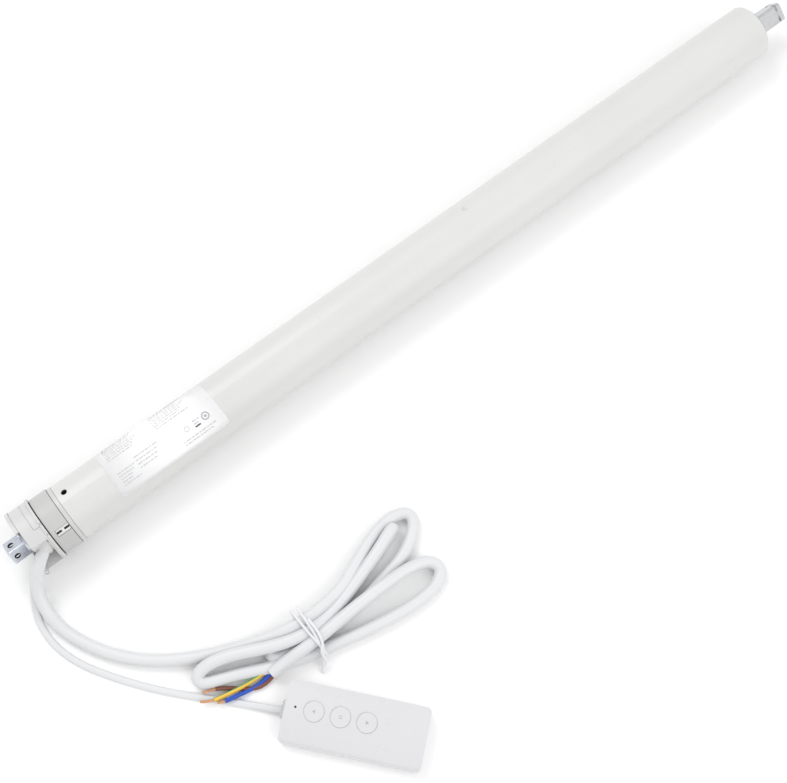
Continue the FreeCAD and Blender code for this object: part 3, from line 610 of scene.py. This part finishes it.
LABEL_START = 43.3
LABEL_END = 116.3
LABEL_LOW_TURN = 60.0
LABEL_HIGH_TURN = -112.0
LABEL_LIFT = 0.06


def on_tube(x, turn, lift):
    """A point on the tube. A positive turn goes from the top towards -Y."""
    angle = math.radians(turn)
    radius = TUBE_RADIUS + lift
    return Vector((x, -radius * math.sin(angle), radius * math.cos(angle))) * MM


def wrapped_outline(name, outline, lift, thick, material, steps_per_turn=2.5):
    """A thin patch on the tube: the outline is a list of (x, turn), filled by slicing it across."""
    low_turn = min(turn for x, turn in outline)
    high_turn = max(turn for x, turn in outline)
    slices = max(2, int((high_turn - low_turn) / steps_per_turn))
    mesh = bmesh.new()
    rows = []
    for index in range(slices + 1):
        turn = low_turn + (high_turn - low_turn) * index / slices
        crossings = outline_span(outline, turn)
        rows.append([(crossings[0], turn), (crossings[1], turn)])
    top = [[mesh.verts.new(on_tube(x, turn, lift + thick)) for x, turn in row] for row in rows]
    bottom = [[mesh.verts.new(on_tube(x, turn, lift)) for x, turn in row] for row in rows]
    for index in range(slices):
        mesh.faces.new((top[index][0], top[index][1], top[index + 1][1], top[index + 1][0]))
        for side in (0, 1):
            mesh.faces.new((top[index][side], top[index + 1][side],
                            bottom[index + 1][side], bottom[index][side]))
    for index in (0, slices):
        mesh.faces.new((top[index][0], top[index][1], bottom[index][1], bottom[index][0]))
    bmesh.ops.recalc_face_normals(mesh, faces=mesh.faces)
    return mesh_object(name, mesh, material)


def outline_span(outline, turn):
    """Where a line of constant turn crosses a convex outline."""
    hits = []
    for (x0, t0), (x1, t1) in zip(outline, outline[1:] + outline[:1]):
        if abs(t1 - t0) < 1e-9:
            if abs(turn - t0) < 1e-6:
                hits += [x0, x1]
        elif min(t0, t1) - 1e-6 <= turn <= max(t0, t1) + 1e-6:
            hits.append(x0 + (x1 - x0) * (turn - t0) / (t1 - t0))
    return min(hits), max(hits)


def label_outline():
    corner = 2.6
    corner_turn = math.degrees(corner / TUBE_RADIUS)
    outline = []
    corners = ((LABEL_END, LABEL_LOW_TURN, -1, -1, 90), (LABEL_START, LABEL_LOW_TURN, 1, -1, 180),
               (LABEL_START, LABEL_HIGH_TURN, 1, 1, 270), (LABEL_END, LABEL_HIGH_TURN, -1, 1, 0))
    for x, turn, inward_x, inward_turn, start in corners:
        for step in range(7):
            angle = math.radians(start - 90 * step / 6 - (90 if start in (90, 180, 270) else 0))
            outline.append((x, turn, inward_x, inward_turn, angle))
    points = []
    for x, turn, inward_x, inward_turn, angle in outline:
        centre_x = x + inward_x * corner
        centre_turn = turn + inward_turn * corner_turn
        points.append((centre_x - inward_x * corner * abs(math.cos(angle)),
                       centre_turn - inward_turn * corner_turn * abs(math.sin(angle))))
    return points


def mark(name, x0, x1, turn0, turn1, key):
    outline = [(x0, turn0), (x1, turn0), (x1, turn1), (x0, turn1)]
    piece = wrapped_outline(name, outline, LABEL_LIFT + 0.03, 0.02, materials[key])
    return piece


def ring_mark(name, x, turn, outer, inner, key):
    """A printed ring on the label."""
    mesh = bmesh.new()
    rings = []
    for radius in (inner, outer):
        ring = []
        for across, along in circle(radius, 36):
            ring.append(mesh.verts.new(on_tube(x + across, turn + math.degrees(along / TUBE_RADIUS),
                                               LABEL_LIFT + 0.05)))
        rings.append(ring)
    for index in range(36):
        following = (index + 1) % 36
        mesh.faces.new((rings[0][index], rings[0][following], rings[1][following], rings[1][index]))
    bmesh.ops.recalc_face_normals(mesh, faces=mesh.faces)
    return mesh_object(name, mesh, materials[key])


def joined(name, pieces):
    """Joins small pieces of one kind into one object."""
    bpy.ops.object.select_all(action="DESELECT")
    for piece in pieces:
        piece.select_set(True)
    bpy.context.view_layer.objects.active = pieces[0]
    bpy.ops.object.join()
    pieces[0].name = name
    return pieces[0]


# Rows of small print: first and last x, first turn, number of rows and turn between them.
PRINT_BLOCKS = (
    (47.5, 68.0, -62.0, 8, 6.4), (79.5, 101.0, -66.0, 9, 6.4), (47.8, 58.5, 14.0, 5, 6.2),
    (60.5, 76.0, 6.0, 4, 7.4), (88.0, 109.5, 38.0, 2, 6.6), (98.5, 103.0, 14.0, 2, 6.0),
)
DASHES = (2.1, 1.2, 2.8, 0.9, 1.7, 2.4, 1.1, 3.0, 1.5)


def print_rows():
    """Rows of dashes in place of the label's small print; they spell nothing."""
    rows = []
    count = 0
    for start, end, first_turn, number, step in PRINT_BLOCKS:
        for row in range(number):
            turn = first_turn + step * row
            row_end = end - 1.6 * ((row * 5) % 4)
            x = start
            while x < row_end:
                length = DASHES[count % len(DASHES)]
                rows.append(mark("dash", x, min(x + length, row_end + 0.4), turn, turn + 2.2, "ink_faint"))
                x += length + 0.7
                count += 1
    return rows


def make_label():
    label = wrapped_outline("tube_label", label_outline(), LABEL_LIFT - 0.04, 0.04, materials["label"], 1.5)
    lines = joined("label_lines", print_rows())
    ring_large = ring_mark("label_large_ring", 106.5, 19.8, 2.4, 1.7, "grey_ink_and_dent_shade")
    ring_dot = ring_mark("label_ring_dot", 106.5, 19.8, 0.8, 0.1, "grey_ink_and_dent_shade")
    ring_small = ring_mark("label_small_ring", 93.6, 20.5, 1.7, 1.2, "ink_faint")
    bar = mark("label_bar", 98.4, 101.9, 25.4, 28.2, "ink_dark")
    for piece in (label, lines, ring_large, ring_dot, ring_small, bar):
        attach(piece, "motor_frame")


def make_crimp(name, x, turn, radius):
    """A shallow stamped mark that grips what is inside the tube, drawn as a thin grey arc: the grey is
    painted shade of the dent.
    """
    mesh = bmesh.new()
    steps = 26
    rings = []
    for step in range(steps + 1):
        angle = math.radians(40 + 280 * step / steps)
        ring = []
        for across, up in circle(0.16, 8):
            reach = radius + across
            ring.append(mesh.verts.new(on_tube(x + reach * math.cos(angle),
                                               turn + math.degrees(reach * math.sin(angle) / TUBE_RADIUS),
                                               0.02 + up * 0.5)))
        rings.append(ring)
    for first, second in zip(rings, rings[1:]):
        for index in range(8):
            following = (index + 1) % 8
            mesh.faces.new((first[index], first[following], second[following], second[index]))
    mesh.faces.new(list(reversed(rings[0])))
    mesh.faces.new(rings[-1])
    bmesh.ops.recalc_face_normals(mesh, faces=mesh.faces)
    crimp = mesh_object(name, mesh, materials["grey_ink_and_dent_shade"])
    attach(crimp, "motor_frame")


# ---- small parts on the head

def tube_mesh(name, stations, material, count=40, lathe_axis=Vector((1, 0, 0)), middle=Vector((0, 0, 0))):
    """A turned surface: stations are (place along the axis, radius)."""
    side = lathe_axis.orthogonal().normalized()
    rise = lathe_axis.cross(side)
    mesh = bmesh.new()
    rings = []
    for place, radius in stations:
        ring = []
        for across, up in circle(radius, count):
            ring.append(mesh.verts.new((middle + lathe_axis * place + side * across + rise * up) * MM))
        rings.append(ring)
    for first, second in zip(rings, rings[1:]):
        for index in range(count):
            following = (index + 1) % count
            mesh.faces.new((first[index], first[following], second[following], second[index]))
    bmesh.ops.recalc_face_normals(mesh, faces=mesh.faces)
    return mesh_object(name, mesh, material)


HOLE_X = 18.7
HOLE_TURN = math.radians(18)


def make_hole_lining():
    """Painted shade: near-black sheets inside the neck and round the side of the fixing hole, standing in
    for the shade seen through the hole.
    """
    away = Vector((0, math.sin(HOLE_TURN), math.cos(HOLE_TURN)))
    wall = tube_mesh("neck_painted_shade", [(1.2, 13.4), (15.0, 13.4), (29.8, 13.4)], materials["dark"], 64)
    hole = tube_mesh("fixing_hole_painted_shade", [(13.4, 1.74), (15.0, 1.74), (16.9, 1.74)], materials["dark"],
                     32, away, Vector((HOLE_X, 0, 0)))
    for piece in (wall, hole):
        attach(piece, "motor_frame")


def make_dark_insides():
    """Painted shade: a near-black sleeve in the hollow of the bracket pin, and a near-black patch on the
    floor of the keyway under the latch, both standing in for shade.
    """
    pin_shade_sleeve = tube_mesh("pin_painted_shade", [(-25.0, 3.2), (-20.0, 3.2), (-15.3, 3.2)], materials["dark"], 48)
    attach(pin_shade_sleeve, "motor_frame")
    mesh = bmesh.new()
    rows = [[mesh.verts.new(on_tube(x, KEYWAY_TURN + step, KEYWAY_FLOOR - TUBE_RADIUS))
             for step in KEYWAY_STEPS] for x in (2.6, 10.7)]
    for index in range(4):
        mesh.faces.new((rows[0][index], rows[0][index + 1], rows[1][index + 1], rows[1][index]))
    bmesh.ops.recalc_face_normals(mesh, faces=mesh.faces)
    keyway_shade_patch = mesh_object("keyway_painted_shade", mesh, materials["dark"])
    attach(keyway_shade_patch, "crown")


KEYWAY_TURN = 39.5
KEYWAY_FLOOR = 17.02
KEYWAY_STEPS = (-6.5, -3.2, 0.0, 3.2, 6.5)


def closed_ring(name, middle, facing, radius, wire, material):
    """A small wire ring that faces one way."""
    side = facing.orthogonal().normalized()
    rise = facing.cross(side)
    data = bpy.data.curves.new(name, "CURVE")
    data.dimensions = "3D"
    data.bevel_depth = wire * MM
    data.bevel_resolution = 4
    spline = data.splines.new("NURBS")
    spline.points.add(11)
    for point, (across, up) in zip(spline.points, circle(radius, 12)):
        point.co = (*((middle + side * across + rise * up) * MM), 1.0)
    spline.order_u = 3
    spline.use_cyclic_u = True
    return new_object(name, data, material)


def make_eyelets():
    on_head = closed_ring("head_eyelet", Vector((-14.9, -18.9, -8.2)), Vector((-0.2, -0.35, 0.9)),
                          1.0, 0.36, materials["plastic"])
    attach(on_head, "motor_frame")
    near_cable = on_box(-40.4, 4.7, FLOOR + 4.4) / MM
    on_case = closed_ring("box_eyelet", near_cable, Vector((-0.2, -0.3, 0.9)), 1.0, 0.36, materials["box"])
    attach(on_case, "motor_frame")


# ---- control box marks

BOX_TOP = FLOOR + 12.0
BOX_DOME = 50.0
BUTTON_ROW = 2.1
BUTTON_TOP = BOX_TOP + 0.3
BUTTONS = {"key_up": -8.5 - 14.7, "key_stop": -8.5, "key_down": -8.5 + 14.7}


def on_box(along, across, height):
    place = Matrix.Rotation(BOX_TURN, 3, "Z") @ Vector((along, across, height))
    return (place + Vector((BOX_X, BOX_Y, 0))) * MM


def flat_mark(name, outlines, height, body, key):
    mesh = bmesh.new()
    for outline in outlines:
        mesh.faces.new([mesh.verts.new(on_box(along, BUTTON_ROW + across, height))
                        for along, across in outline])
    bmesh.ops.recalc_face_normals(mesh, faces=mesh.faces)
    piece = mesh_object(name, mesh, materials[key], smooth=False)
    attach(piece, body)


def make_button_marks():
    height = BUTTON_TOP + 0.02
    middle = BUTTONS["key_up"]
    flat_mark("mark_up", [[(middle - 1.1, 0), (middle + 0.6, -1.1), (middle + 0.6, 1.1)]],
              height, "key_up", "grey_ink_and_dent_shade")
    middle = BUTTONS["key_down"]
    flat_mark("mark_down", [[(middle + 1.1, 0), (middle - 0.6, 1.1), (middle - 0.6, -1.1)]],
              height, "key_down", "grey_ink_and_dent_shade")
    middle = BUTTONS["key_stop"]
    bars = [[(middle - 1.0, side - 0.2), (middle + 1.0, side - 0.2), (middle + 1.0, side + 0.2),
             (middle - 1.0, side + 0.2)] for side in (-0.6, 0.6)]
    flat_mark("mark_stop", bars, height, "key_stop", "grey_ink_and_dent_shade")


def make_button_gaps():
    """A pale ring at the bottom of the gap round each button."""
    for body, middle in BUTTONS.items():
        mesh = bmesh.new()
        rings = []
        for radius in (5.52, 5.68):
            ring = []
            for along, across in circle(radius, 64):
                height = BOX_TOP - (BUTTON_ROW + across) ** 2 / (2 * BOX_DOME) - 0.15
                ring.append(mesh.verts.new(on_box(middle + along, BUTTON_ROW + across, height)))
            rings.append(ring)
        for index in range(64):
            following = (index + 1) % 64
            mesh.faces.new((rings[0][index], rings[0][following], rings[1][following], rings[1][index]))
        bmesh.ops.recalc_face_normals(mesh, faces=mesh.faces)
        gap = mesh_object(body.replace("key", "gap"), mesh, materials["ink_faint"])
        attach(gap, "motor_frame")


# ---- floor and light

def make_floor():
    mesh = bmesh.new()
    bmesh.ops.create_grid(mesh, x_segments=1, y_segments=1, size=4.0)
    floor = mesh_object("floor", mesh, floor_material(), smooth=False)
    floor.location = (0.2, -0.1, FLOOR * MM)


def floor_material():
    nodes = Nodes("floor_paper")
    drift = nodes.ranged(nodes.noise(2.0), 0.0, 1.0)
    nodes.link(nodes.mixed(drift, (0.94, 0.94, 0.94), (0.93, 0.93, 0.93)), nodes.shader.inputs["Base Color"])
    nodes.set(Roughness=0.8, Specular_IOR_Level=0.1)
    nodes.bump(nodes.noise(900.0), 0.03, 0.0001)
    return nodes.material


def area_light(name, place, target, size, power):
    data = bpy.data.lights.new(name, "AREA")
    data.shape = "DISK"
    data.size = size
    data.energy = power
    light = bpy.data.objects.new(name, data)
    bpy.context.collection.objects.link(light)
    light.location = place
    way = Vector(target) - Vector(place)
    light.rotation_mode = "QUATERNION"
    light.rotation_quaternion = way.to_track_quat("-Z", "Y")


def make_light():
    world = bpy.data.worlds.new("studio")
    world.use_nodes = True
    background = world.node_tree.nodes["Background"]
    background.inputs["Color"].default_value = (1.0, 1.0, 1.0, 1.0)
    background.inputs["Strength"].default_value = 0.85
    bpy.context.scene.world = world
    area_light("key", (0.1, 0.85, 1.2), (0.2, -0.05, 0.0), 0.8, 7.0)
    area_light("fill", (0.5, -1.0, 0.9), (0.2, -0.05, 0.0), 1.2, 5.5)
    bpy.context.scene.view_settings.view_transform = "Standard"


# ---- build

make_camera()
materials = make_materials()
make_mains_cable()
make_control_cable()
dress_cad()
make_label()
make_crimp("tube_crimp", 305.2, -22.0, 1.3)
make_hole_lining()
make_dark_insides()
make_button_marks()
make_button_gaps()
make_eyelets()
make_floor()
make_light()
